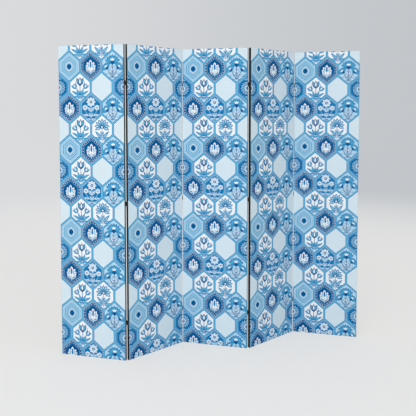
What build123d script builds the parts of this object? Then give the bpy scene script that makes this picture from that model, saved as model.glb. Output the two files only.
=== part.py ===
# Folding screen of five canvas panels on wooden frames, joined by small butt hinges.
# Millimetres and degrees. +Z is up, the printed fronts face -Y, and the zigzag runs along X.
# The origin is on the floor, under the centre of the middle panel.
from build123d import *
import math
import os

# Panels
PANEL_COUNT = 5
PANEL_W = 400.0
PANEL_H = 1800.0
FOLD_TURN = 57.0        # how far each joint is turned away from a flat screen

# Wooden frame inside each panel
FRAME_T = 16.0
STILE_W = 35.0
RAIL_W = 35.0
CROSS_RAIL_W = 30.0
CROSS_RAIL_COUNT = 2
TENON_T = 6.0
TENON_L = 15.0
TENON_SHOULDER = 5.0    # step from a rail's edge to its tenon
TENON_FIT = 0.1         # glue gap around a tenon

# Canvas and back cloth
CANVAS_T = 0.7
CANVAS_TURN_IN = 20.0   # strip of canvas folded onto the back of the frame
CLOTH_T = 0.6
CLOTH_INSET = 8.0       # from the panel's edge to the back cloth's edge

# Wire staples in the back cloth
STAPLE_W = 10.0
STAPLE_WIRE_W = 1.2
STAPLE_WIRE_T = 0.6
STAPLE_LEG = 6.0
STAPLE_INSET = 13.0     # from the panel's edge to a staple's crown
STAPLE_PITCH = 115.0

# Hinges
HINGE_H = 25.0
HINGE_END = 215.0       # from the panel's top or bottom to the middle of the nearest hinge
HINGE_COUNT = 3
LEAF_T = 0.9
LEAF_W = 14.0
LEAF_GAP = 0.4          # between the two leaves when the screen is flat
BARREL_R = 1.6
BARREL_CLEAR = 0.1      # between a barrel and the corner of its panel
KNUCKLE_CLEAR = 0.15    # around a knuckle, in the other leaf
KNUCKLE_GAP = 0.2       # between neighbouring knuckles, along the pin
MIDDLE_KNUCKLE_H = 9.0
PIN_R = 0.8
PIN_FIT = 0.05          # radial running clearance of the pin
PIN_HEAD_R = 1.3
PIN_HEAD_T = 0.5
PIN_HEAD_GAP = 0.05

# Wood screws of the hinges, two in each leaf
SCREW_R = 1.1
SCREW_HEAD_R = 1.9
SCREW_L = 12.0
SCREW_FIT = 0.03        # radial clearance of the shank in its holes
SCREW_SPACING = 15.0
SCREW_FROM_PIN = 9.0
SCREW_POINT_L = 2.5
SCREW_POINT_R = 0.2
RECESS_W = 0.45
RECESS_D = 0.45

# Worked out from the values above
FRAME_W = PANEL_W - 2 * CANVAS_T
FRAME_H = PANEL_H - 2 * CANVAS_T
FRAME_Y = CANVAS_T + FRAME_T / 2
WRAP_T = FRAME_T + 2 * CANVAS_T
PANEL_T = WRAP_T + CLOTH_T
PIVOT_OUT = LEAF_T + LEAF_GAP / 2                                     # from side face to hinge axis
PIVOT_BEHIND = math.sqrt((BARREL_R + BARREL_CLEAR) ** 2 - PIVOT_OUT ** 2)  # from panel face to hinge axis
RAIL_L = FRAME_W - 2 * STILE_W
MIDDLE_PANEL = (PANEL_COUNT + 1) // 2


def box(x0, x1, y0, y1, z0, z1):
    """A box between two corners."""
    size = (x1 - x0, y1 - y0, z1 - z0)
    return Pos((x0 + x1) / 2, (y0 + y1) / 2, (z0 + z1) / 2) * Box(*size)


def rod(radius, z0, z1):
    """An upright cylinder on the Z axis."""
    return Pos(0, 0, (z0 + z1) / 2) * Cylinder(radius, z1 - z0)


def along_x(shape):
    """Lays a shape made along +Z down along -X."""
    return Rot(0, -90, 0) * shape


def spread(low, high, count):
    """Evenly spaced places from low to high, both included."""
    return [low + (high - low) * i / (count - 1) for i in range(count)]


# Joints and placing

def is_rear(joint):
    """Joint 1, 3, ... has its hinges at the back, and the others at the front."""
    return joint % 2 == 1


def heading(panel):
    """Turn of a panel's width away from +X."""
    return -FOLD_TURN / 2 if panel % 2 == 1 else FOLD_TURN / 2


def pivot(panel, side):
    """Hinge axis at the left or right side of a panel, in the panel's own coordinates."""
    joint = panel if side == "right" else panel - 1
    x = PANEL_W + PIVOT_OUT if side == "right" else -PIVOT_OUT
    y = PANEL_T + PIVOT_BEHIND if is_rear(joint) else -PIVOT_BEHIND
    return x, y


def turned(point, angle):
    """A point turned about the origin."""
    x, y = point
    c, s = math.cos(math.radians(angle)), math.sin(math.radians(angle))
    return x * c - y * s, x * s + y * c


def panel_origins():
    """Where each panel's lower left front corner stands, chained from the middle panel."""
    centre = turned((PANEL_W / 2, PANEL_T / 2), heading(MIDDLE_PANEL))
    origins = {MIDDLE_PANEL: (-centre[0], -centre[1])}
    steps = [(k, k - 1, "left", "right") for k in range(MIDDLE_PANEL + 1, PANEL_COUNT + 1)]
    steps += [(k, k + 1, "right", "left") for k in range(MIDDLE_PANEL - 1, 0, -1)]
    for panel, known, side, known_side in steps:
        there = turned(pivot(known, known_side), heading(known))
        here = turned(pivot(panel, side), heading(panel))
        x, y = origins[known]
        origins[panel] = (x + there[0] - here[0], y + there[1] - here[1])
    return origins


def place(shape, panel, origins):
    """Moves a shape from a panel's own coordinates to where the panel stands."""
    x, y = origins[panel]
    return Pos(x, y, 0) * Rot(0, 0, heading(panel)) * shape


def hinge_heights():
    return spread(HINGE_END, PANEL_H - HINGE_END, HINGE_COUNT)


def hinge_places(panel, side):
    """The three hinges on one side of a panel, as locations of a hinge drawn for a right rear side."""
    joint = panel if side == "right" else panel - 1
    x, y = pivot(panel, side)
    turn = Rot(0, 180, 0) if side == "left" else Rot(0, 0, 0)
    flip = Rot(0, 0, 0) if is_rear(joint) else Rot(180, 0, 0)
    return [Pos(x, y, z) * turn * flip for z in hinge_heights()]


def panel_sides(panel):
    """The sides of a panel that carry hinges."""
    sides = []
    if panel > 1:
        sides.append("left")
    if panel < PANEL_COUNT:
        sides.append("right")
    return sides


# Hinges, drawn with the pin on the Z axis and the panel's right side face at X = -PIVOT_OUT

def knuckle_bands(kind):
    """Spans along the pin that the knuckles of one leaf take."""
    middle = MIDDLE_KNUCKLE_H / 2
    end = HINGE_H / 2
    if kind == "middle":
        return [(-middle, middle)]
    return [(-end, -middle - KNUCKLE_GAP), (middle + KNUCKLE_GAP, end)]


def screw_spots():
    """The two screws of a leaf, on the leaf's outer face."""
    face = LEAF_T - PIVOT_OUT
    return [Pos(face, -SCREW_FROM_PIN, z) for z in (-SCREW_SPACING / 2, SCREW_SPACING / 2)]


def countersink():
    depth = SCREW_HEAD_R - SCREW_R
    return Pos(0, 0, depth / 2) * Cone(SCREW_HEAD_R, SCREW_R, depth)


def leaf(kind):
    """One hinge leaf with two end knuckles or one middle knuckle."""
    other = "outer" if kind == "middle" else "middle"
    plate = box(-PIVOT_OUT, LEAF_T - PIVOT_OUT, -LEAF_W, 0, -HINGE_H / 2, HINGE_H / 2)
    for z0, z1 in knuckle_bands(other):
        plate -= rod(BARREL_R + KNUCKLE_CLEAR, z0 - KNUCKLE_GAP, z1 + KNUCKLE_GAP)
    for z0, z1 in knuckle_bands(kind):
        plate += rod(BARREL_R, z0, z1)
    plate -= rod(PIN_R + PIN_FIT, -HINGE_H, HINGE_H)
    hole = along_x(countersink() + rod(SCREW_R + SCREW_FIT, 0, LEAF_T * 2))
    for spot in screw_spots():
        plate -= spot * hole
    return plate


def hinge_pin():
    end = HINGE_H / 2 + PIN_HEAD_GAP
    pin = rod(PIN_R, -end, end)
    pin += rod(PIN_HEAD_R, end, end + PIN_HEAD_T)
    pin += rod(PIN_HEAD_R, -end - PIN_HEAD_T, -end)
    return pin


def wood_screw():
    """A countersunk screw with a cross recess, its head face at the origin and its point along -X."""
    shank_end = SCREW_L - SCREW_POINT_L
    screw = countersink() + rod(SCREW_R, 0, shank_end)
    screw += Pos(0, 0, shank_end + SCREW_POINT_L / 2) * Cone(SCREW_R, SCREW_POINT_R, SCREW_POINT_L)
    arm = SCREW_HEAD_R * 0.6
    screw -= box(-arm, arm, -RECESS_W / 2, RECESS_W / 2, 0, RECESS_D)
    screw -= box(-RECESS_W / 2, RECESS_W / 2, -arm, arm, 0, RECESS_D)
    return along_x(screw)


def screw_bore():
    """The hole of one screw in canvas and wood."""
    return along_x(rod(SCREW_R + SCREW_FIT, 0, SCREW_L))


def at_hinges(panel, side, shape):
    return [where * shape for where in hinge_places(panel, side)]


def at_screws(panel, shape):
    spots = [where * spot for side in panel_sides(panel)
             for where in hinge_places(panel, side) for spot in screw_spots()]
    return [spot * shape for spot in spots]


# Frame

def cross_rail_heights():
    """Middles of the cross rails, which divide the frame evenly."""
    step = PANEL_H / (CROSS_RAIL_COUNT + 1)
    return [step * (i + 1) for i in range(CROSS_RAIL_COUNT)]


def rail_bands():
    """Each rail's name with its lower and upper edge."""
    bottom, top = CANVAS_T, CANVAS_T + FRAME_H
    bands = [("bottom_rail", bottom, bottom + RAIL_W), ("top_rail", top - RAIL_W, top)]
    half = CROSS_RAIL_W / 2
    bands += [("cross_rails", z - half, z + half) for z in cross_rail_heights()]
    return bands


def tenon(z0, z1, side, fit):
    """A rail's tenon at one side of the panel, or with a fit, the mortise for it."""
    inner = CANVAS_T + STILE_W
    x0, x1 = inner - TENON_L - fit, inner
    if side == "right":
        x0, x1 = PANEL_W - x1, PANEL_W - x0
    y0, y1 = FRAME_Y - TENON_T / 2 - fit, FRAME_Y + TENON_T / 2 + fit
    return box(x0, x1, y0, y1, z0 + TENON_SHOULDER - fit, z1 - TENON_SHOULDER + fit)


def rail(z0, z1):
    x0 = CANVAS_T + STILE_W
    bar = box(x0, x0 + RAIL_L, CANVAS_T, CANVAS_T + FRAME_T, z0, z1)
    return bar + tenon(z0, z1, "left", 0) + tenon(z0, z1, "right", 0)


def stile(side):
    x0 = CANVAS_T if side == "left" else PANEL_W - CANVAS_T - STILE_W
    bar = box(x0, x0 + STILE_W, CANVAS_T, CANVAS_T + FRAME_T, CANVAS_T, CANVAS_T + FRAME_H)
    for _, z0, z1 in rail_bands():
        bar -= tenon(z0, z1, side, TENON_FIT)
    return bar


# Canvas, back cloth and staples

def canvas():
    """Printed canvas: the front, its four wrapped edges, and the strips turned in at the back."""
    sheet = box(0, PANEL_W, 0, WRAP_T, 0, PANEL_H)
    sheet -= box(CANVAS_T, PANEL_W - CANVAS_T, CANVAS_T, WRAP_T - CANVAS_T, CANVAS_T, PANEL_H - CANVAS_T)
    edge = CANVAS_TURN_IN
    return sheet - box(edge, PANEL_W - edge, WRAP_T - 2 * CANVAS_T, WRAP_T, edge, PANEL_H - edge)


def back_cloth():
    edge = CLOTH_INSET
    return box(edge, PANEL_W - edge, WRAP_T, PANEL_T, edge, PANEL_H - edge)


def staple_legs():
    """The two legs of an upright staple whose crown's middle is at the origin, on the cloth."""
    half = STAPLE_W / 2
    wide = STAPLE_WIRE_W / 2
    spans = [(-half, -half + STAPLE_WIRE_T), (half - STAPLE_WIRE_T, half)]
    return [box(-wide, wide, -STAPLE_LEG, 0, z0, z1) for z0, z1 in spans]


def staple():
    half = STAPLE_W / 2
    wide = STAPLE_WIRE_W / 2
    body = box(-wide, wide, 0, STAPLE_WIRE_T, -half, half)
    for leg in staple_legs():
        body += leg
    return body


def staple_places():
    """Crown places: up both stiles, and lying along the top and bottom rails."""
    rise = spread(STAPLE_INSET + STAPLE_W, PANEL_H - STAPLE_INSET - STAPLE_W,
                  max(2, round(PANEL_H / STAPLE_PITCH)))
    across = spread(STAPLE_INSET, PANEL_W - STAPLE_INSET, max(3, round(PANEL_W / STAPLE_PITCH) + 1))
    spots = [Pos(x, PANEL_T, z) for x in (STAPLE_INSET, PANEL_W - STAPLE_INSET) for z in rise]
    lying = Rot(0, 90, 0)
    spots += [Pos(x, PANEL_T, z) * lying for x in across[1:-1] for z in (STAPLE_INSET, PANEL_H - STAPLE_INSET)]
    return spots


# Writing the nodes

def write(node, solids):
    shape = solids[0] if len(solids) == 1 else Compound(children=solids)
    shape.label = node
    export_step(shape, os.path.join("parts", node + ".step"))


def solids_of(shapes):
    return [solid for shape in shapes for solid in shape.solids()]


def drilled(shape, holes):
    """A shape with all the holes that reach it cut out."""
    near = [hole for hole in holes if touches(shape, hole)]
    return shape - near if near else shape


def touches(shape, hole):
    """Whether the boxes around a shape and a hole meet."""
    a, b = shape.bounding_box(), hole.bounding_box()
    spans = zip(tuple(a.min), tuple(a.max), tuple(b.min), tuple(b.max))
    return all(a_low < b_high and b_low < a_high for a_low, a_high, b_low, b_high in spans)


def base_pieces():
    """What every panel shares, in panel coordinates, with the staples' holes already cut."""
    legs = [spot * leg for spot in staple_places() for leg in staple_legs()]
    pieces = {"left_stile": [stile("left")], "right_stile": [stile("right")]}
    pieces.update({"canvas": [canvas()], "back_cloth": [back_cloth()]})
    for name, z0, z1 in rail_bands():
        pieces.setdefault(name, []).append(rail(z0, z1))
    pieces = {name: [drilled(shape, legs) for shape in shapes] for name, shapes in pieces.items()}
    pieces["staples"] = [spot * staple() for spot in staple_places()]
    return pieces


def write_panel(panel, base, origins):
    bores = at_screws(panel, screw_bore())
    for name, shapes in base.items():
        if name in ("left_stile", "right_stile", "canvas"):
            shapes = [drilled(shape, bores) for shape in shapes]
        placed = [place(shape, panel, origins) for shape in shapes]
        write(f"panel_{panel}_{name}", solids_of(placed))
    screws = [place(shape, panel, origins) for shape in at_screws(panel, wood_screw())]
    write(f"panel_{panel}_hinge_screws", solids_of(screws))


def write_hinges(joint, origins):
    """Leaves on the panels left and right of a joint, and the pins, which stay with the left leaves."""
    left = [place(shape, joint, origins) for shape in at_hinges(joint, "right", leaf("outer"))]
    right = [place(shape, joint + 1, origins) for shape in at_hinges(joint + 1, "left", leaf("middle"))]
    pins = [place(shape, joint, origins) for shape in at_hinges(joint, "right", hinge_pin())]
    write(f"hinge_{joint}_left_leaves", solids_of(left))
    write(f"hinge_{joint}_right_leaves", solids_of(right))
    write(f"hinge_{joint}_pins", solids_of(pins))


def main():
    os.makedirs("parts", exist_ok=True)
    origins = panel_origins()
    base = base_pieces()
    for panel in range(1, PANEL_COUNT + 1):
        write_panel(panel, base, origins)
    for joint in range(1, PANEL_COUNT):
        write_hinges(joint, origins)


main()
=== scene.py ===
# Looks for a five-panel folding screen: canvas printed with a blue and white tile pattern, on wooden frames.
# +Z up, printed fronts facing -Y. Meshes are made in millimetres and multiplied by MM into metres. The camera, the
# lamps and the floor are placed in metres.
import math

import bmesh
import bpy
from mathutils import Matrix, Vector, noise
from mathutils.geometry import delaunay_2d_cdt


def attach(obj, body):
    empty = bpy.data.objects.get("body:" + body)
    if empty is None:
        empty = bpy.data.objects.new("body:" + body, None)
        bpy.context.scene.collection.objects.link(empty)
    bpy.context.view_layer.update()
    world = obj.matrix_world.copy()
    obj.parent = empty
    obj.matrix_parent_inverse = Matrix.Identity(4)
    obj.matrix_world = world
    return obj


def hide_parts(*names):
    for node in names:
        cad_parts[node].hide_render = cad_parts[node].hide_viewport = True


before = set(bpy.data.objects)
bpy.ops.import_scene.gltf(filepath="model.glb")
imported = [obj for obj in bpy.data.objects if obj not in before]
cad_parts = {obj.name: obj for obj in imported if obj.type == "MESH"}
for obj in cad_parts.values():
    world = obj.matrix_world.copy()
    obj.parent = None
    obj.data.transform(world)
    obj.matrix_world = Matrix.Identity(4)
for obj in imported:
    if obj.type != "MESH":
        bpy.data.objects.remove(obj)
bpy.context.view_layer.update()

MM = 0.001

# Measures that part.py also has
PANEL_COUNT = 5
PANEL_W, PANEL_H = 400.0, 1800.0
FOLD_TURN = 57.0
WRAP_T, PANEL_T = 17.4, 18.0
CANVAS_TURN_IN, CLOTH_INSET = 20.0, 8.0
BAR_W, CROSS_RAIL_W = 35.7, 30.0  # a frame bar with the canvas on its edge, and a cross rail
STAPLE_INSET, STAPLE_END = 13.0, 23.0
STAPLE_GAPS_UP, STAPLE_GAPS_ACROSS = 15, 3
PIVOT_OUT, PIVOT_BEHIND = 1.1, 1.29615

# Camera, fitted to the panels' edges in the photograph
PICTURE_SIDE = 416
CAMERA_AT = (-0.9032, -3.4022, 1.4116)
CAMERA_HEADING = 75.816          # of its line of sight, from +X
CAMERA_DOWN = 3.0                # degrees below the horizon
FOCAL_PX, CENTRE_PX = 585.81, 144.44
SENSOR = 36.0


def linear(*rgb):
    """A display colour from 0 to 255 as the linear values that Blender takes."""
    def one(value):
        v = value / 255
        return v / 12.92 if v <= 0.04045 else ((v + 0.055) / 1.055) ** 2.4
    return tuple(one(value) for value in rgb) + (1.0,)


# Material nodes

class Nodes:
    """A few short calls for building a node tree."""

    def __init__(self, tree):
        self.tree = tree

    def add(self, kind, inputs=None, **settings):
        node = self.tree.nodes.new(kind)
        for name, value in settings.items():
            setattr(node, name, value)
        for name, value in (inputs or {}).items():
            self.set(node.inputs[name], value)
        return node

    def set(self, socket, value):
        if isinstance(value, bpy.types.NodeSocket):
            self.tree.links.new(value, socket)
        else:
            socket.default_value = value

    def math(self, operation, *values, clamp=False):
        node = self.add("ShaderNodeMath", operation=operation, use_clamp=clamp)
        for socket, value in zip(node.inputs, values):
            self.set(socket, value)
        return node.outputs[0]

    def scaled(self, vector, x, y, z):
        node = self.add("ShaderNodeVectorMath", operation="MULTIPLY")
        self.set(node.inputs[0], vector)
        node.inputs[1].default_value = (x, y, z)
        return node.outputs[0]

    def noise(self, vector, scale, detail=2.0, roughness=0.5):
        inputs = {"Vector": vector, "Scale": scale, "Detail": detail, "Roughness": roughness}
        return self.add("ShaderNodeTexNoise", inputs).outputs["Fac"]

    def eased(self, value, low, high):
        """A number that goes smoothly from 0 to 1 as the value goes from low to high."""
        inputs = {"Value": value, "From Min": low, "From Max": high}
        return self.add("ShaderNodeMapRange", inputs, interpolation_type="SMOOTHSTEP").outputs["Result"]

    def between(self, factor, low, high):
        """A number from low to high as the factor goes from 0 to 1."""
        node = self.add("ShaderNodeMapRange", {"Value": factor, "To Min": low, "To Max": high})
        return node.outputs["Result"]

    def tinted(self, colour, factor):
        """A colour made lighter or darker by a factor near 1."""
        node = self.add("ShaderNodeVectorMath", operation="SCALE")
        node.inputs[0].default_value = colour[:3]
        self.set(node.inputs["Scale"], factor)
        return node.outputs[0]

    def mixed(self, factor, first, second):
        node = self.add("ShaderNodeMix", data_type="RGBA")
        self.set(node.inputs["Factor"], factor)
        for socket, value in zip([s for s in node.inputs if s.type == "RGBA"], (first, second)):
            self.set(socket, value)
        return [s for s in node.outputs if s.type == "RGBA"][0]


def material(name):
    made = bpy.data.materials.new(name)
    made.use_nodes = True
    nodes = Nodes(made.node_tree)
    return made, nodes, made.node_tree.nodes["Principled BSDF"]


def surface(nodes, shader, colour, roughness, height, distance, **plain):
    """Fills in a Principled shader: what varies is linked, and what doesn't is set on its own socket."""
    nodes.set(shader.inputs["Base Color"], colour)
    nodes.set(shader.inputs["Roughness"], roughness)
    bump = nodes.add("ShaderNodeBump", {"Height": height, "Strength": 1.0, "Distance": distance})
    nodes.set(shader.inputs["Normal"], bump.outputs[0])
    for socket, value in plain.items():
        shader.inputs[socket.replace("_", " ")].default_value = value


THREAD_PITCH = 0.8
THREAD_EVENNESS = 22             # length of a thread's thick and thin places, in pitches


def threads(nodes):
    """Warp and weft of a slightly uneven plain weave on the unfolded cloth, as a height from 0 to 1."""
    at = nodes.add("ShaderNodeUVMap", uv_map="Cloth").outputs[0]
    pitch = THREAD_PITCH * MM
    across, along = 1 / pitch, 1 / (pitch * THREAD_EVENNESS)
    warp = nodes.noise(nodes.scaled(at, across, along, 1), 1.0, 1.0)
    weft = nodes.noise(nodes.scaled(at, along, across, 1), 1.0, 1.0)
    return at, nodes.math("MULTIPLY", nodes.math("ADD", warp, weft), 0.5)


def ink(name, colour):
    """Matt dye print on polyester canvas."""
    made, nodes, shader = material(name)
    at, weave = threads(nodes)
    cloud = nodes.noise(at, 9.0, 3.0)
    shade = nodes.math("ADD", nodes.between(weave, 0.9, 1.1), nodes.between(cloud, -0.03, 0.03))
    surface(nodes, shader, nodes.tinted(colour, shade), nodes.between(weave, 0.78, 0.9), weave, 0.12 * MM,
            Specular_IOR_Level=0.1)
    return made


def lining():
    """Black non-woven cloth, bonded in fine dots."""
    made, nodes, shader = material("black_lining")
    at = nodes.add("ShaderNodeUVMap", uv_map="Cloth").outputs[0]
    fibres = nodes.noise(at, 420.0, 4.0, 0.65)
    dots = nodes.add("ShaderNodeTexVoronoi", {"Vector": at, "Scale": 330.0, "Randomness": 0.35}).outputs["Distance"]
    cloud = nodes.noise(at, 14.0, 3.0)
    height = nodes.math("ADD", nodes.math("MULTIPLY", dots, 0.6), nodes.math("MULTIPLY", fibres, 0.4))
    shade = nodes.math("MULTIPLY", nodes.between(fibres, 0.75, 1.35), nodes.between(cloud, 0.85, 1.2))
    surface(nodes, shader, nodes.tinted(linear(33, 32, 33), shade), nodes.between(fibres, 0.8, 0.95), height, 0.25 * MM,
            Sheen_Weight=0.25, Sheen_Roughness=0.6, Specular_IOR_Level=0.3)
    return made


def lacquered(name, colour):
    """Black lacquer on steel, worn a little."""
    made, nodes, shader = material(name)
    at = nodes.add("ShaderNodeTexCoord").outputs["Object"]
    orange_peel = nodes.noise(at, 900.0, 2.0)
    smears = nodes.noise(at, 130.0, 3.0)
    surface(nodes, shader, nodes.tinted(colour, nodes.between(smears, 0.8, 1.25)), nodes.between(smears, 0.32, 0.5),
            orange_peel, 0.05 * MM, Metallic=0.0, Coat_Weight=0.25, Coat_Roughness=0.2, Specular_IOR_Level=0.5)
    return made


def galvanised():
    """Bright staple wire with fine drawing marks."""
    made, nodes, shader = material("galvanised_wire")
    at = nodes.add("ShaderNodeTexCoord").outputs["Object"]
    marks = nodes.noise(nodes.scaled(at, 5000, 5000, 300), 1.0, 2.0)
    surface(nodes, shader, nodes.tinted(linear(178, 180, 182), nodes.between(marks, 0.8, 1.1)),
            nodes.between(marks, 0.28, 0.45), marks, 0.02 * MM, Metallic=1.0)
    return made


def planed_pine():
    made, nodes, shader = material("planed_pine")
    at = nodes.add("ShaderNodeTexCoord").outputs["Object"]
    grain = nodes.noise(nodes.scaled(at, 190, 190, 6), 1.0, 4.0, 0.6)
    fibres = nodes.noise(nodes.scaled(at, 2200, 2200, 60), 1.0, 2.0)
    colour = nodes.mixed(grain, linear(226, 193, 143), linear(184, 138, 87))
    surface(nodes, shader, colour, nodes.between(fibres, 0.5, 0.68), fibres, 0.08 * MM)
    return made


INKS = {
    "white": linear(237, 241, 243),
    "pale": linear(176, 214, 234),
    "sky": linear(94, 180, 218),
    "blue": linear(12, 122, 182),
    "deep": linear(2, 84, 144),
    "black": linear(27, 25, 25),
}
INK_NAMES = list(INKS)


# Outlines of the printed ornaments, in millimetres from the middle of a tile

TILES_ACROSS = 3
TILE_W = PANEL_W / TILES_ACROSS
ROW_PITCH = 119.2
TILE_RISE = 56.0                 # height of a tile's slanted sides
HALF_W = TILE_W / 2
HALF_H = (ROW_PITCH + TILE_RISE) / 2
SLOPE = TILE_RISE / HALF_W


def turned(point, degrees):
    x, y = point
    c, s = math.cos(math.radians(degrees)), math.sin(math.radians(degrees))
    return x * c - y * s, x * s + y * c


def moved(outline, x, y, turn=0.0):
    return [(px + x, py + y) for px, py in (turned(p, turn) for p in outline)]


def mirrored(outline):
    return [(-x, y) for x, y in outline]


def twice(shapes):
    """Shapes with their mirror images about the tile's upright middle line."""
    return shapes + [(name, mirrored(outline)) for name, outline in shapes]


def placed(shapes, x, y, turn=0.0, size=1.0):
    return [(name, moved([(px * size, py * size) for px, py in outline], x, y, turn)) for name, outline in shapes]


def hexagon(inset):
    """The tile's outline drawn in by an inset."""
    half_w = HALF_W - inset
    half_h = HALF_H - inset * math.hypot(1, SLOPE)
    shoulder = half_h - half_w * SLOPE
    left = [(0, half_h), (-half_w, shoulder), (-half_w, -shoulder)]
    return left + [(-x, -y) for x, y in left]


def oval(x, y, rx, ry, turn=0.0, count=16):
    points = [(rx * math.cos(2 * math.pi * i / count), ry * math.sin(2 * math.pi * i / count)) for i in range(count)]
    return moved(points, x, y, turn)


def petal(x, y, length, width, turn=0.0, point=0.35, count=7):
    """A drop that grows upwards from x, y before it is turned; point is how pointed its tip is."""
    side = []
    for i in range(1, count):
        t = i / count
        swell = math.sin(math.pi * t ** 0.8) ** (0.6 + point)
        side.append((width / 2 * swell, length * t))
    outline = [(0, 0)] + side + [(0, length)] + mirrored(side)[::-1]
    return moved(outline, x, y, turn)


def along(points, steps=6):
    """Points on a smooth curve through the given ones."""
    ends = [points[0], *points, points[-1]]
    made = []
    for a, b, c, d in zip(ends, ends[1:], ends[2:], ends[3:]):
        for i in range(steps):
            t = i / steps
            made.append(tuple(0.5 * (2 * b[k] + (c[k] - a[k]) * t + (2 * a[k] - 5 * b[k] + 4 * c[k] - d[k]) * t ** 2
                                     + (3 * b[k] - a[k] - 3 * c[k] + d[k]) * t ** 3) for k in (0, 1)))
    return made + [points[-1]]


def stroke(points, first, last=None, steps=6):
    """A ribbon along a smooth curve, from one width to another."""
    last = first if last is None else last
    line = along(points, steps)
    left, right = [], []
    for i, (x, y) in enumerate(line):
        ax, ay = line[max(i - 1, 0)]
        bx, by = line[min(i + 1, len(line) - 1)]
        size = math.hypot(bx - ax, by - ay)
        nx, ny = -(by - ay) / size, (bx - ax) / size
        half = (first + (last - first) * i / (len(line) - 1)) / 2
        left.append((x + nx * half, y + ny * half))
        right.append((x - nx * half, y - ny * half))
    return left + right[::-1]


def dots_on(inset, count, radius):
    """Dots spread evenly round the tile's inset outline, one at each corner."""
    corners = hexagon(inset)
    lengths = [math.dist(a, b) for a, b in zip(corners, corners[1:] + corners[:1])]
    pitch = sum(lengths) / count
    made = []
    for (ax, ay), (bx, by), length in zip(corners, corners[1:] + corners[:1], lengths):
        steps = max(1, round(length / pitch))
        made += [oval(ax + (bx - ax) * i / steps, ay + (by - ay) * i / steps, radius, radius, count=8)
                 for i in range(steps)]
    return made


def clipped(outline, edge):
    """The part of an outline inside a convex one that runs anticlockwise."""
    for (ax, ay), (bx, by) in zip(edge, edge[1:] + edge[:1]):
        def inside(p):
            return (bx - ax) * (p[1] - ay) - (by - ay) * (p[0] - ax)
        kept = []
        for p, q in zip(outline, outline[1:] + outline[:1]):
            u, v = inside(p), inside(q)
            if u >= 0:
                kept.append(p)
            if (u > 0 > v) or (u < 0 < v):
                t = u / (u - v)
                kept.append((p[0] + (q[0] - p[0]) * t, p[1] + (q[1] - p[1]) * t))
        outline = kept
        if len(outline) < 3:
            return []
    return outline


def painted(name, *outlines):
    return [(name, outline) for outline in outlines]


def bands(*steps):
    """Hexagon bands from the outside in, as pairs of inset and ink."""
    return [(name, hexagon(inset)) for inset, name in steps]


BORDER_W = 8.2                   # of the border that all tiles share


def framed(ground, *steps):
    """The shared border, a ground in its own ink and bands on it."""
    return bands((0, "sky"), (3.5, "blue"), (6.5, "white"), (BORDER_W, ground), *steps)


def line(name, points, first, last=None):
    return painted(name, stroke(points, first, last, 4))


def leaf(x, y, length, width, turn, rim, field, point=0.35):
    """A leaf or petal with its rim in one ink and its field in another."""
    up = turned((0, length * 0.14), turn)
    return (painted(rim, petal(x, y, length, width, turn, point, 6))
            + painted(field, petal(x + up[0], y + up[1], length * 0.7, width * 0.56, turn, point, 5)))


def flower(x, y, size, petals, rim, field, heart):
    """A round blossom with its heart in another ink."""
    made = []
    for i in range(petals):
        made += leaf(x, y, size, size * 4.7 / petals, 360 / petals * i, rim, field, 0.1)
    made += painted(heart, oval(x, y, size * 0.28, size * 0.28, count=10))
    return made + painted(rim, oval(x, y, size * 0.12, size * 0.12, count=6))


def tulip(rim, field):
    """A cup of three petals, 32 mm high, that opens upwards."""
    made = twice(leaf(0, 0, 32, 16, -27, rim, field, 0.5)) + leaf(0, 0, 31, 14, 0, rim, "white", 0.5)
    return made + painted(rim, oval(0, 1, 5, 3.4, count=8))


def pink():
    """A fringed head, 34 mm high, that opens upwards."""
    made = []
    for turn in (-66, 66, -44, 44, -22, 22, 0):
        made += leaf(0, 0, 34, 12.5, turn, "blue", "sky", -0.2)
    made += painted("white", *[petal(0, 8, 13, 3.6, turn, 0.1, 4) for turn in (-48, -24, 0, 24, 48)])
    return made + painted("deep", oval(0, 2, 7, 8, count=10))


# The kinds of tile. Each gives its shapes in the order in which they are printed.

def trellis():
    """Slanted bars both ways, cut off at the border."""
    made = framed("white")
    edge = hexagon(BORDER_W)
    pitch, reach, half, lean = 11.2, 130.0, 1.0, 46
    bar = [(-half, -reach), (half, -reach), (half, reach), (-half, reach)]
    for turn in (-lean, lean):
        for i in range(-11, 12):
            part = clipped(moved(bar, i * pitch, 0, turn), edge)
            made += painted("pale", part) if part else []
    return made


def rings():
    """Bands drawn in to the middle, in a dotted border."""
    made = framed("pale", (15.5, "sky"), (18.0, "white"), (20.0, "sky"), (24.0, "blue"), (26.4, "pale"), (32.0, "sky"),
                  (35.0, "blue"), (37.4, "pale"), (43.0, "blue"), (45.5, "white"), (49.5, "sky"), (54.0, "deep"))
    return made + painted("blue", *dots_on(11.9, 54, 1.6))


def palmette():
    """A fan of leaves over two scrolls, in a dotted border."""
    made = framed("deep", (21.0, "sky"), (23.2, "deep")) + painted("white", *dots_on(14.8, 26, 2.7))
    made += twice(line("white", [(0, -24), (12, -33), (24, -27), (23, -16), (15, -19)], 4.0, 2.2))
    for turn, length in ((-80, 30), (-54, 38), (-28, 47)):
        made += twice(leaf(0, -19, length, 17, turn, "white", "sky", -0.3))
    made += leaf(0, -19, 56, 20, 0, "white", "blue", -0.3)
    made += twice(leaf(2, -27, 18, 7, -140, "pale", "sky")) + leaf(0, -25, 25, 9.5, 180, "white", "sky")
    return made + painted("white", oval(0, -20, 6, 5, count=12)) + painted("blue", oval(0, -20, 2.8, 2.4, count=8))


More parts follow.
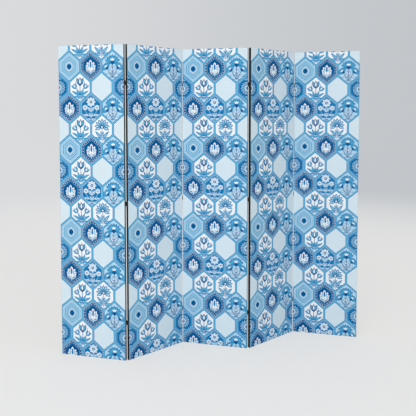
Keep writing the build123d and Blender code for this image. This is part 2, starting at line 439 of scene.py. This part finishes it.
def rosette():
    """A round of petals on a disc, with a small crown above and below it."""
    made = framed("blue", (13.0, "sky"), (15.2, "blue")) + painted("deep", oval(0, 0, 45, 45, count=40))
    petals = 16
    for i in range(petals):
        turn = 360 / petals * i
        made += leaf(*turned((0, 11), turn), 31, 11.5, turn, "pale", "blue", -0.1)
    made += painted("white", oval(0, 0, 14, 14, count=24)) + painted("deep", oval(0, 0, 11, 11, count=20))
    made += painted("pale", *[oval(*turned((0, 6), turn), 2.1, 2.1, count=8) for turn in range(0, 360, 60)])
    crown = leaf(0, 47, 20, 8, 0, "pale", "sky") + twice(leaf(4, 46, 17, 6.5, -54, "pale", "sky"))
    return made + crown + [(name, [(x, -y) for x, y in outline]) for name, outline in crown]


def spray():
    """One large blossom and two small ones on leafy stems."""
    made = framed("blue") + line("pale", [(0, -72), (0, -30), (0, 26)], 3.0)
    made += twice(line("pale", [(0, -50), (16, -40), (31, -22), (36, -6)], 2.6, 1.8))
    for x, y, length, width, turn in ((3, -60, 30, 10, -104), (4, -46, 22, 9, -20), (14, -40, 34, 11, -84),
                                      (2, -18, 27, 10, -42), (2, -4, 25, 9, -66)):
        made += twice(leaf(x, y, length, width, turn, "white", "sky"))
    made += twice(flower(37, 4, 16.5, 6, "white", "pale", "deep"))
    return made + flower(0, 36, 29, 8, "white", "pale", "deep")


def posy():
    """Three tulips tied with their leaves."""
    made = framed("white") + line("blue", [(0, -50), (0, -10), (0, 14)], 3.4)
    made += twice(line("blue", [(0, -48), (10, -24), (25, -2)], 3.0))
    for x, y, length, width, turn in ((3, -48, 46, 14, -24), (4, -46, 56, 15, -62), (2, -52, 40, 12, -92),
                                      (2, -50, 24, 9, -146)):
        made += twice(leaf(x, y, length, width, turn, "blue", "sky"))
    made += leaf(0, -50, 24, 9, 180, "blue", "pale") + leaf(0, -46, 34, 11, 0, "deep", "sky")
    made += twice(placed(tulip("blue", "sky"), 26, -6, -34, 1.06)) + placed(tulip("deep", "sky"), 0, 12, 0, 1.5)
    made += twice(painted("blue", oval(29, 34, 2.2, 2.2, count=8)))
    return made + twice(painted("sky", oval(20, 44, 1.8, 1.8, count=8)))


def pinks():
    """Three fringed heads on long stems."""
    made = framed("pale") + line("deep", [(0, -70), (0, -20), (0, 14)], 3.2)
    made += twice(line("deep", [(0, -66), (14, -44), (32, -16)], 2.8))
    for x, y, length, width, turn in ((3, -66, 46, 11, -66), (4, -50, 44, 10, -28), (2, -34, 34, 10, -12),
                                      (16, -42, 26, 8, -88)):
        made += twice(leaf(x, y, length, width, turn, "blue", "white"))
    return made + twice(placed(pink(), 31, -14, -42, 1.02)) + placed(pink(), 0, 14, 0, 1.45)


def lotus():
    """One open bloom over broad leaves."""
    made = framed("white") + line("blue", [(0, -72), (0, -30), (0, 0)], 3.4)
    for x, y, length, width, turn in ((2, -60, 46, 15, -70), (2, -52, 58, 17, -44), (2, -40, 30, 10, -14)):
        made += twice(leaf(x, y, length, width, turn, "blue", "sky", 0.2))
        tip = turned((0, length * 0.7), turn)
        made += twice(line("white", [(x, y), (x + tip[0] / 2, y + tip[1] / 2), (x + tip[0], y + tip[1])], 1.6, 1.0))
    bloom = []
    for turn in (-112, 112, -84, 84, -56, 56, -28, 28, 0):
        bloom += leaf(*turned((0, 7), turn), 40, 19, turn, "blue", "pale", 0.2)
    for turn in (-98, 98, -70, 70, -42, 42, -14, 14):
        bloom += leaf(*turned((0, 6), turn), 24, 10, turn, "deep", "sky", 0.2)
    bloom += painted("deep", oval(0, 0, 11, 11, count=16)) + painted("white", oval(0, 0, 5.5, 5.5, count=10))
    return made + placed(bloom, 0, 14)


KINDS = {"trellis": trellis, "rings": rings, "palmette": palmette, "rosette": rosette,
         "spray": spray, "posy": posy, "pinks": pinks, "lotus": lotus}
# Rows of tiles, repeated down the panel from the top edge. The first and third rows start with a tile that is centred
# on both side edges, where the next panel carries it on. The second and fourth have three whole tiles.
ROWS = [("trellis", "posy", "lotus"), ("rings", "palmette", "pinks"),
        ("rosette", "posy", "trellis"), ("palmette", "spray", "pinks")]


def anticlockwise(outline):
    area = sum(ax * by - bx * ay for (ax, ay), (bx, by) in zip(outline, outline[1:] + outline[:1]))
    return outline if area > 0 else outline[::-1]


EDGE_STEPS = 4                   # along each side of a tile
SPACING = 22.0                   # of the extra points that let the cloth bend
RIM_CLEAR = 6.0                  # from those points to the tile's slanted sides


def tile_triangles(shapes):
    """Cuts a tile into triangles along all its shapes. Each triangle has the ink of the last shape that covers it."""
    rim = hexagon(0)
    border = []
    for (ax, ay), (bx, by) in zip(rim, rim[1:] + rim[:1]):
        border += [(ax + (bx - ax) * i / EDGE_STEPS, ay + (by - ay) * i / EDGE_STEPS) for i in range(EDGE_STEPS)]
    outlines = [border] + [outline for _, outline in shapes[1:]]
    inks = [name for name, _ in shapes]
    points, faces = [], []
    for outline in outlines:
        outline = anticlockwise(outline)
        faces.append(range(len(points), len(points) + len(outline)))
        points += outline
    count = int(HALF_H // SPACING)
    points += [(i * SPACING, j * SPACING) for i in range(-2, 3) for j in range(-count, count + 1)
               if abs(j * SPACING) < HALF_H - abs(i * SPACING) * SLOPE - RIM_CLEAR]
    corners, loops = [Vector(p) for p in points], [list(face) for face in faces]
    made, _, triangles, _, _, origins = delaunay_2d_cdt(corners, [], loops, 1, 1e-3)
    inked = [(tri, INK_NAMES.index(inks[max(over)])) for tri, over in zip(triangles, origins) if over]
    return [(p.x, p.y) for p in made], inked


# Canvas

EDGE_R = 1.0                     # rounding of the wrapped edges
DIP = 0.4                        # how far the canvas gives way between the bars
BARS = [0.0, PANEL_H / 3, PANEL_H * 2 / 3, PANEL_H]


def between_bars(value, low, high):
    t = (value - low) / (high - low)
    return math.sin(math.pi * t) if 0 < t < 1 else 0.0


def give(x, z):
    """Share of the full dip at a place on the panel, which is none on the bars."""
    def reach(bar):
        return BAR_W if bar in (0, PANEL_H) else CROSS_RAIL_W / 2
    across = between_bars(x, BAR_W, PANEL_W - BAR_W)
    up = max(between_bars(z, low + reach(low), high - reach(high)) for low, high in zip(BARS, BARS[1:]))
    return math.sqrt(across * up)


def printed_front():
    """The flat printed front of one panel, cut from the rows of tiles, in panel coordinates."""
    cut = {kind: tile_triangles(shapes()) for kind, shapes in KINDS.items()}
    mesh = bmesh.new()
    row, z = 0, PANEL_H
    while z > -HALF_H:
        kinds = ROWS[row % len(ROWS)]
        whole = row % 2 == 1
        for i in range(TILES_ACROSS + (0 if whole else 1)):
            x = (i + 0.5) * TILE_W if whole else i * TILE_W
            points, triangles = cut[kinds[i % TILES_ACROSS]]
            verts = [mesh.verts.new((x + px, 0, z + py)) for px, py in points]
            for tri, name in triangles:
                mesh.faces.new([verts[k] for k in tri]).material_index = name
        row, z = row + 1, z - ROW_PITCH
    bmesh.ops.remove_doubles(mesh, verts=mesh.verts, dist=0.01)
    for place, normal in (((EDGE_R, 0, 0), (-1, 0, 0)), ((PANEL_W - EDGE_R, 0, 0), (1, 0, 0)),
                          ((0, 0, EDGE_R), (0, 0, -1)), ((0, 0, PANEL_H - EDGE_R), (0, 0, 1))):
        everything = mesh.verts[:] + mesh.edges[:] + mesh.faces[:]
        bmesh.ops.bisect_plane(mesh, geom=everything, dist=0.001, plane_co=place, plane_no=normal, clear_outer=True)
    for i in range(1, 4):
        everything = mesh.verts[:] + mesh.edges[:] + mesh.faces[:]
        bmesh.ops.bisect_plane(mesh, geom=everything, dist=0.001, plane_co=(0, 0, PANEL_H / 4 * i), plane_no=(0, 0, 1))
    bmesh.ops.dissolve_degenerate(mesh, dist=0.002, edges=mesh.edges)
    return mesh


def wrap_profile():
    """Loops from the front's edge round to the turned-in strip, as (outward, depth, way along the cloth)."""
    loops = []
    for i in range(1, 5):
        a = math.pi / 2 * i / 4
        loops.append((EDGE_R * math.sin(a), EDGE_R * (1 - math.cos(a)), EDGE_R * a))
    way = EDGE_R * math.pi / 2
    run = WRAP_T - 2 * EDGE_R
    loops += [(EDGE_R, EDGE_R + run * t, way + run * t) for t in (0.33, 0.67, 1.0)]
    way += run
    for i in range(1, 5):
        a = math.pi / 2 * i / 4
        loops.append((EDGE_R * math.cos(a), WRAP_T - EDGE_R + EDGE_R * math.sin(a), way + EDGE_R * a))
    way += EDGE_R * math.pi / 2
    run = CANVAS_TURN_IN - EDGE_R
    return loops + [(-run * t, WRAP_T, way + run * t) for t in (0.4, 1.0)]


PRINTED_LOOPS = 2                # loops of the rounding that still carry the print


def boundary_loop(mesh):
    """The front's outer vertices in order."""
    edges = [e for e in mesh.edges if e.is_boundary]
    follow = {}
    for edge in edges:
        for loop in edge.link_loops:
            follow[loop.vert] = (loop.link_loop_next.vert, edge)
    start = next(iter(follow))
    order, vert = [], start
    while True:
        vert_next, edge = follow[vert]
        order.append((vert, edge))
        vert = vert_next
        if vert is start:
            return order


def pushed_out(co, outward):
    """Where a point of the front's edge lies on the same rectangle drawn outward."""
    low, high_x, high_z = EDGE_R, PANEL_W - EDGE_R, PANEL_H - EDGE_R
    x = low - outward + (co.x - low) / (high_x - low) * (high_x - low + 2 * outward)
    z = low - outward + (co.z - low) / (high_z - low) * (high_z - low + 2 * outward)
    return x, z


def side_of(a, b):
    """Which side of the panel an edge of the front lies on, and how far along it each end is."""
    if abs(a.z - b.z) > abs(a.x - b.x):
        return ("left" if a.x < PANEL_W / 2 else "right"), a.z, b.z
    return ("bottom" if a.z < PANEL_H / 2 else "top"), a.x, b.x


# Places on the square that the print is baked to: the front in four strips, and the wraps narrow beside them
BAKE_SIDE = 0.910
STRIP_GAP = 2.5
COLUMN_PITCH, WRAP_SHRINK = 19.5, 0.43
TOP_OFFSET = PANEL_W + 10        # from the bottom wrap to the top wrap in their column


def bake_front(x, z, strip):
    return ((x + (strip % 2) * (PANEL_W + STRIP_GAP)) * MM / BAKE_SIDE,
            (z - strip * PANEL_H / 4 + (strip // 2) * (PANEL_H / 4 + STRIP_GAP)) * MM / BAKE_SIDE)


def bake_wrap(side, place, way):
    """Columns of 17 mm for the two halves of each long side, and one for both short sides."""
    half = PANEL_H / 2
    column = {"left": 0, "right": 2, "bottom": 4, "top": 4}[side]
    if side in ("left", "right"):
        upper = place[0] + place[1] > PANEL_H
        column += 1 if upper else 0
        offset = -half if upper else 0
    else:
        offset = 0 if side == "bottom" else TOP_OFFSET
    start = 2 * (PANEL_W + STRIP_GAP) + 1
    return [((start + column * COLUMN_PITCH + w * WRAP_SHRINK) * MM / BAKE_SIDE, (p + offset) * MM / BAKE_SIDE)
            for p, w in zip((place[0], place[1], place[1], place[0]), (way[0], way[0], way[1], way[1]))]


def canvas_mesh():
    mesh = printed_front()
    cloth, bake = mesh.loops.layers.uv.new("Cloth"), mesh.loops.layers.uv.new("OFBake")
    for face in mesh.faces:
        strip = min(3, int(face.calc_center_median().z // (PANEL_H / 4)))
        face.smooth = True
        for loop in face.loops:
            x, z = loop.vert.co.x, loop.vert.co.z
            loop[cloth].uv = (x * MM, z * MM)
            loop[bake].uv = bake_front(x, z, strip)
    order = boundary_loop(mesh)
    inks = [edge.link_faces[0].material_index for _, edge in order]
    rim = [vert for vert, _ in order]
    before, before_way = rim, 0.0
    black = INK_NAMES.index("black")
    for step, (outward, depth, way) in enumerate(wrap_profile()):
        after = []
        for vert in rim:
            x, z = pushed_out(vert.co, outward)
            after.append(mesh.verts.new((x, depth, z)))
        for i, vert in enumerate(rim):
            j = (i + 1) % len(rim)
            face = mesh.faces.new((before[j], before[i], after[i], after[j]))
            face.smooth = True
            face.material_index = inks[i] if step < PRINTED_LOOPS else black
            side, first, second = side_of(vert.co, rim[j].co)
            spots = bake_wrap(side, (second, first), (before_way, way))
            corners = ((second, before_way), (first, before_way), (first, way), (second, way))
            for loop, spot, (p, w) in zip(face.loops, spots, corners):
                loop[bake].uv = spot
                loop[cloth].uv = (p * MM, w * MM)
        before, before_way = after, way
    for vert in mesh.verts:
        if vert.co.y < 1e-6:
            vert.co.y = DIP * give(vert.co.x, vert.co.z)
    bmesh.ops.scale(mesh, vec=(MM, MM, MM), verts=mesh.verts)
    return mesh


# Back cloth

CLOTH_STEP = 8.0
CLOTH_THICK = 0.5
SLACK, SLACK_REACH = 0.9, 14.0   # lift between two staples, and how far in from the edge it fades
SAG, CREASE = 1.1, 0.55          # over the openings


def cloth_lift(x, z, seed):
    """How far the back cloth stands off its flat place: slack between the staples, and drawn in over the openings."""
    from_side = min(x - CLOTH_INSET, PANEL_W - CLOTH_INSET - x)
    from_end = min(z - CLOTH_INSET, PANEL_H - CLOTH_INSET - z)
    at_edge = math.exp(-((min(from_side, from_end) - 1) / SLACK_REACH) ** 2)
    if from_side < from_end:
        run, gaps = (z - STAPLE_END) / (PANEL_H - 2 * STAPLE_END), STAPLE_GAPS_UP
    else:
        run, gaps = (x - STAPLE_INSET) / (PANEL_W - 2 * STAPLE_INSET), STAPLE_GAPS_ACROSS
    slack = (0.5 - 0.5 * math.cos(2 * math.pi * run * gaps)) * SLACK * at_edge
    broad = noise.noise(Vector((x / 90 + seed * 7, z / 260, seed)))
    fine = noise.noise(Vector((x / 30 + z / 120, z / 90, seed + 5)))
    opening = give(x, z)
    return slack - SAG * opening + CREASE * (broad + 0.5 * fine) * opening


def cloth_mesh(seed):
    mesh = bmesh.new()
    cloth = mesh.loops.layers.uv.new("Cloth")
    wide, high = PANEL_W - 2 * CLOTH_INSET, PANEL_H - 2 * CLOTH_INSET
    across, up = round(wide / CLOTH_STEP), round(high / CLOTH_STEP)
    rows = []
    for j in range(up + 1):
        z = CLOTH_INSET + high * j / up
        rows.append([mesh.verts.new((x, WRAP_T + CLOTH_THICK + cloth_lift(x, z, seed), z))
                     for x in (CLOTH_INSET + wide * i / across for i in range(across + 1))])
    for low, top in zip(rows, rows[1:]):
        for i in range(across):
            mesh.faces.new((low[i + 1], low[i], top[i], top[i + 1]))
    rim = rows[0] + [row[-1] for row in rows[1:-1]] + rows[-1][::-1] + [row[0] for row in rows[-2:0:-1]]
    under = [mesh.verts.new((v.co.x, v.co.y - CLOTH_THICK, v.co.z)) for v in rim]
    for i, vert in enumerate(rim):
        j = (i + 1) % len(rim)
        mesh.faces.new((rim[j], vert, under[i], under[j]))
    bmesh.ops.recalc_face_normals(mesh, faces=mesh.faces)
    for face in mesh.faces:
        face.smooth = True
        for loop in face.loops:
            loop[cloth].uv = (loop.vert.co.x * MM, loop.vert.co.z * MM)
    bmesh.ops.scale(mesh, vec=(MM, MM, MM), verts=mesh.verts)
    return mesh


# Where the panels stand, worked out as in part.py

def heading(panel):
    return -FOLD_TURN / 2 if panel % 2 == 1 else FOLD_TURN / 2


def pivot(panel, side):
    joint = panel if side == "right" else panel - 1
    x = PANEL_W + PIVOT_OUT if side == "right" else -PIVOT_OUT
    y = PANEL_T + PIVOT_BEHIND if joint % 2 == 1 else -PIVOT_BEHIND
    return x, y


def panel_places():
    """Each panel's own coordinates as a matrix, chained from the middle panel."""
    middle = (PANEL_COUNT + 1) // 2
    centre = turned((PANEL_W / 2, PANEL_T / 2), heading(middle))
    origins = {middle: (-centre[0], -centre[1])}
    steps = [(k, k - 1, "left", "right") for k in range(middle + 1, PANEL_COUNT + 1)]
    steps += [(k, k + 1, "right", "left") for k in range(middle - 1, 0, -1)]
    for panel, known, side, known_side in steps:
        there, here = turned(pivot(known, known_side), heading(known)), turned(pivot(panel, side), heading(panel))
        x, y = origins[known]
        origins[panel] = (x + there[0] - here[0], y + there[1] - here[1])
    return {panel: Matrix.Translation((x * MM, y * MM, 0)) @ Matrix.Rotation(math.radians(heading(panel)), 4, "Z")
            for panel, (x, y) in origins.items()}


def add_piece(name, mesh, materials, place):
    data = bpy.data.meshes.new(name)
    mesh.to_mesh(data)
    for made in materials:
        data.materials.append(made)
    piece = bpy.data.objects.new(name, data)
    bpy.context.scene.collection.objects.link(piece)
    piece.matrix_world = place
    return piece


def add_panels():
    inks = [ink("ink_" + name, colour) for name, colour in INKS.items()]
    lined = lining()
    canvas = canvas_mesh()
    for panel, place in panel_places().items():
        body = f"panel_{panel}"
        piece = add_piece(f"{body}_printed_canvas", canvas, inks, place)
        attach(piece, body)
        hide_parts(f"{body}_canvas")
        back = add_piece(f"{body}_lining", cloth_mesh(panel), [lined], place)
        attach(back, body)
        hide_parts(f"{body}_back_cloth")


def finish_cad_nodes():
    """Better materials for the nodes that are shown as they are."""
    looks = {"stile": planed_pine(), "staples": galvanised(),
             "leaves": lacquered("lacquered_leaf", linear(34, 33, 33)),
             "pins": lacquered("lacquered_pin", linear(40, 39, 39)),
             "hinge_screws": lacquered("blackened_screw", linear(46, 45, 44))}
    looks["rail"] = looks["rails"] = looks["stile"]
    for name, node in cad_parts.items():
        for ending, made in looks.items():
            if name.endswith(ending):
                node.data.materials.clear()
                node.data.materials.append(made)


# Floor, world, light and camera

WALL_LEFT, WALL_RIGHT = linear(218, 219, 221), linear(194, 198, 202)
FLOOR, FLOOR_GLOW = linear(243, 242, 240), linear(240, 240, 240)
GLOW_SHARE = 0.6                 # of the floor's paleness that is its own near the screen
FLOOR_R = 60.0
FADE_NEAR, FADE_FAR = 2.2, 8.0   # from the origin, where the floor starts and ends turning into the wall
WALL_WEST, WALL_EAST = -0.15, 0.6  # X of the directions between which the wall darkens
WORLD_STRENGTH = 0.64
KEY_AT, KEY_TOWARDS = (-2.2, -4.4, 2.2), (0.0, 0.0, 0.9)
KEY_SIZE, KEY_POWER = 3.0, 96


def seen_directly(nodes):
    """1 where the camera, a gloss or a transmission ray looks, and 0 for light on the object."""
    path = nodes.add("ShaderNodeLightPath")
    rays = nodes.math("ADD", path.outputs["Is Camera Ray"], path.outputs["Is Glossy Ray"])
    return nodes.math("ADD", rays, path.outputs["Is Transmission Ray"], clamp=True)


def wall_colour(nodes, direction):
    """The pale wall, a little darker towards +X."""
    east = nodes.add("ShaderNodeSeparateXYZ", {"Vector": direction}).outputs["X"]
    return nodes.mixed(nodes.eased(east, WALL_WEST, WALL_EAST), WALL_LEFT, WALL_RIGHT)


def add_world():
    world = bpy.data.worlds.new("studio")
    bpy.context.scene.world = world
    world.use_nodes = True
    nodes = Nodes(world.node_tree)
    at = nodes.add("ShaderNodeTexCoord").outputs["Generated"]
    lit = nodes.add("ShaderNodeBackground", {"Color": (1, 1, 1, 1), "Strength": WORLD_STRENGTH})
    shown = nodes.add("ShaderNodeBackground", {"Color": wall_colour(nodes, at), "Strength": 1.0})
    mix = nodes.add("ShaderNodeMixShader", {0: seen_directly(nodes)})
    nodes.set(mix.inputs[1], lit.outputs[0])
    nodes.set(mix.inputs[2], shown.outputs[0])
    nodes.set(world.node_tree.nodes["World Output"].inputs["Surface"], mix.outputs[0])


def add_floor():
    mesh = bmesh.new()
    bmesh.ops.create_circle(mesh, cap_ends=True, segments=96, radius=FLOOR_R)
    floor = add_piece("floor", mesh, [], Matrix.Identity(4))
    made, nodes, shader = material("studio_floor")
    at = nodes.add("ShaderNodeTexCoord").outputs["Object"]
    distance = nodes.add("ShaderNodeVectorMath", {0: at}, operation="LENGTH").outputs["Value"]
    direction = nodes.add("ShaderNodeVectorMath", {0: at}, operation="NORMALIZE").outputs[0]
    nodes.set(shader.inputs["Base Color"], nodes.tinted(FLOOR, nodes.between(nodes.noise(at, 3.0), 0.995, 1.005)))
    shader.inputs["Roughness"].default_value = 0.9
    shader.inputs["Specular IOR Level"].default_value = 0.1
    far = nodes.eased(distance, FADE_NEAR, FADE_FAR)
    shown = nodes.mixed(far, FLOOR_GLOW, wall_colour(nodes, direction))
    wall = nodes.add("ShaderNodeEmission", {"Color": shown, "Strength": 1.0})
    share = nodes.between(far, GLOW_SHARE, 1.0)
    mix = nodes.add("ShaderNodeMixShader", {0: nodes.math("MULTIPLY", share, seen_directly(nodes))})
    nodes.set(mix.inputs[1], shader.outputs[0])
    nodes.set(mix.inputs[2], wall.outputs[0])
    nodes.set(made.node_tree.nodes["Material Output"].inputs["Surface"], mix.outputs[0])
    floor.data.materials.append(made)


def add_key():
    lamp = bpy.data.lights.new("key", "AREA")
    lamp.shape, lamp.size, lamp.energy = "SQUARE", KEY_SIZE, KEY_POWER
    piece = bpy.data.objects.new("key", lamp)
    bpy.context.scene.collection.objects.link(piece)
    piece.location = KEY_AT
    piece.rotation_euler = (Vector(KEY_TOWARDS) - Vector(KEY_AT)).to_track_quat("-Z", "Y").to_euler()


def add_camera():
    data = bpy.data.cameras.new("camera")
    data.sensor_width = SENSOR
    data.lens = FOCAL_PX / PICTURE_SIDE * SENSOR
    data.shift_y = (CENTRE_PX - PICTURE_SIDE / 2) / PICTURE_SIDE
    camera = bpy.data.objects.new("camera", data)
    bpy.context.scene.collection.objects.link(camera)
    camera.location = CAMERA_AT
    camera.rotation_euler = (math.radians(90 - CAMERA_DOWN), 0, math.radians(CAMERA_HEADING - 90))
    bpy.context.scene.camera = camera


bpy.context.scene.view_settings.view_transform = "Standard"
add_camera()
add_panels()
finish_cad_nodes()
add_floor()
add_world()
add_key()
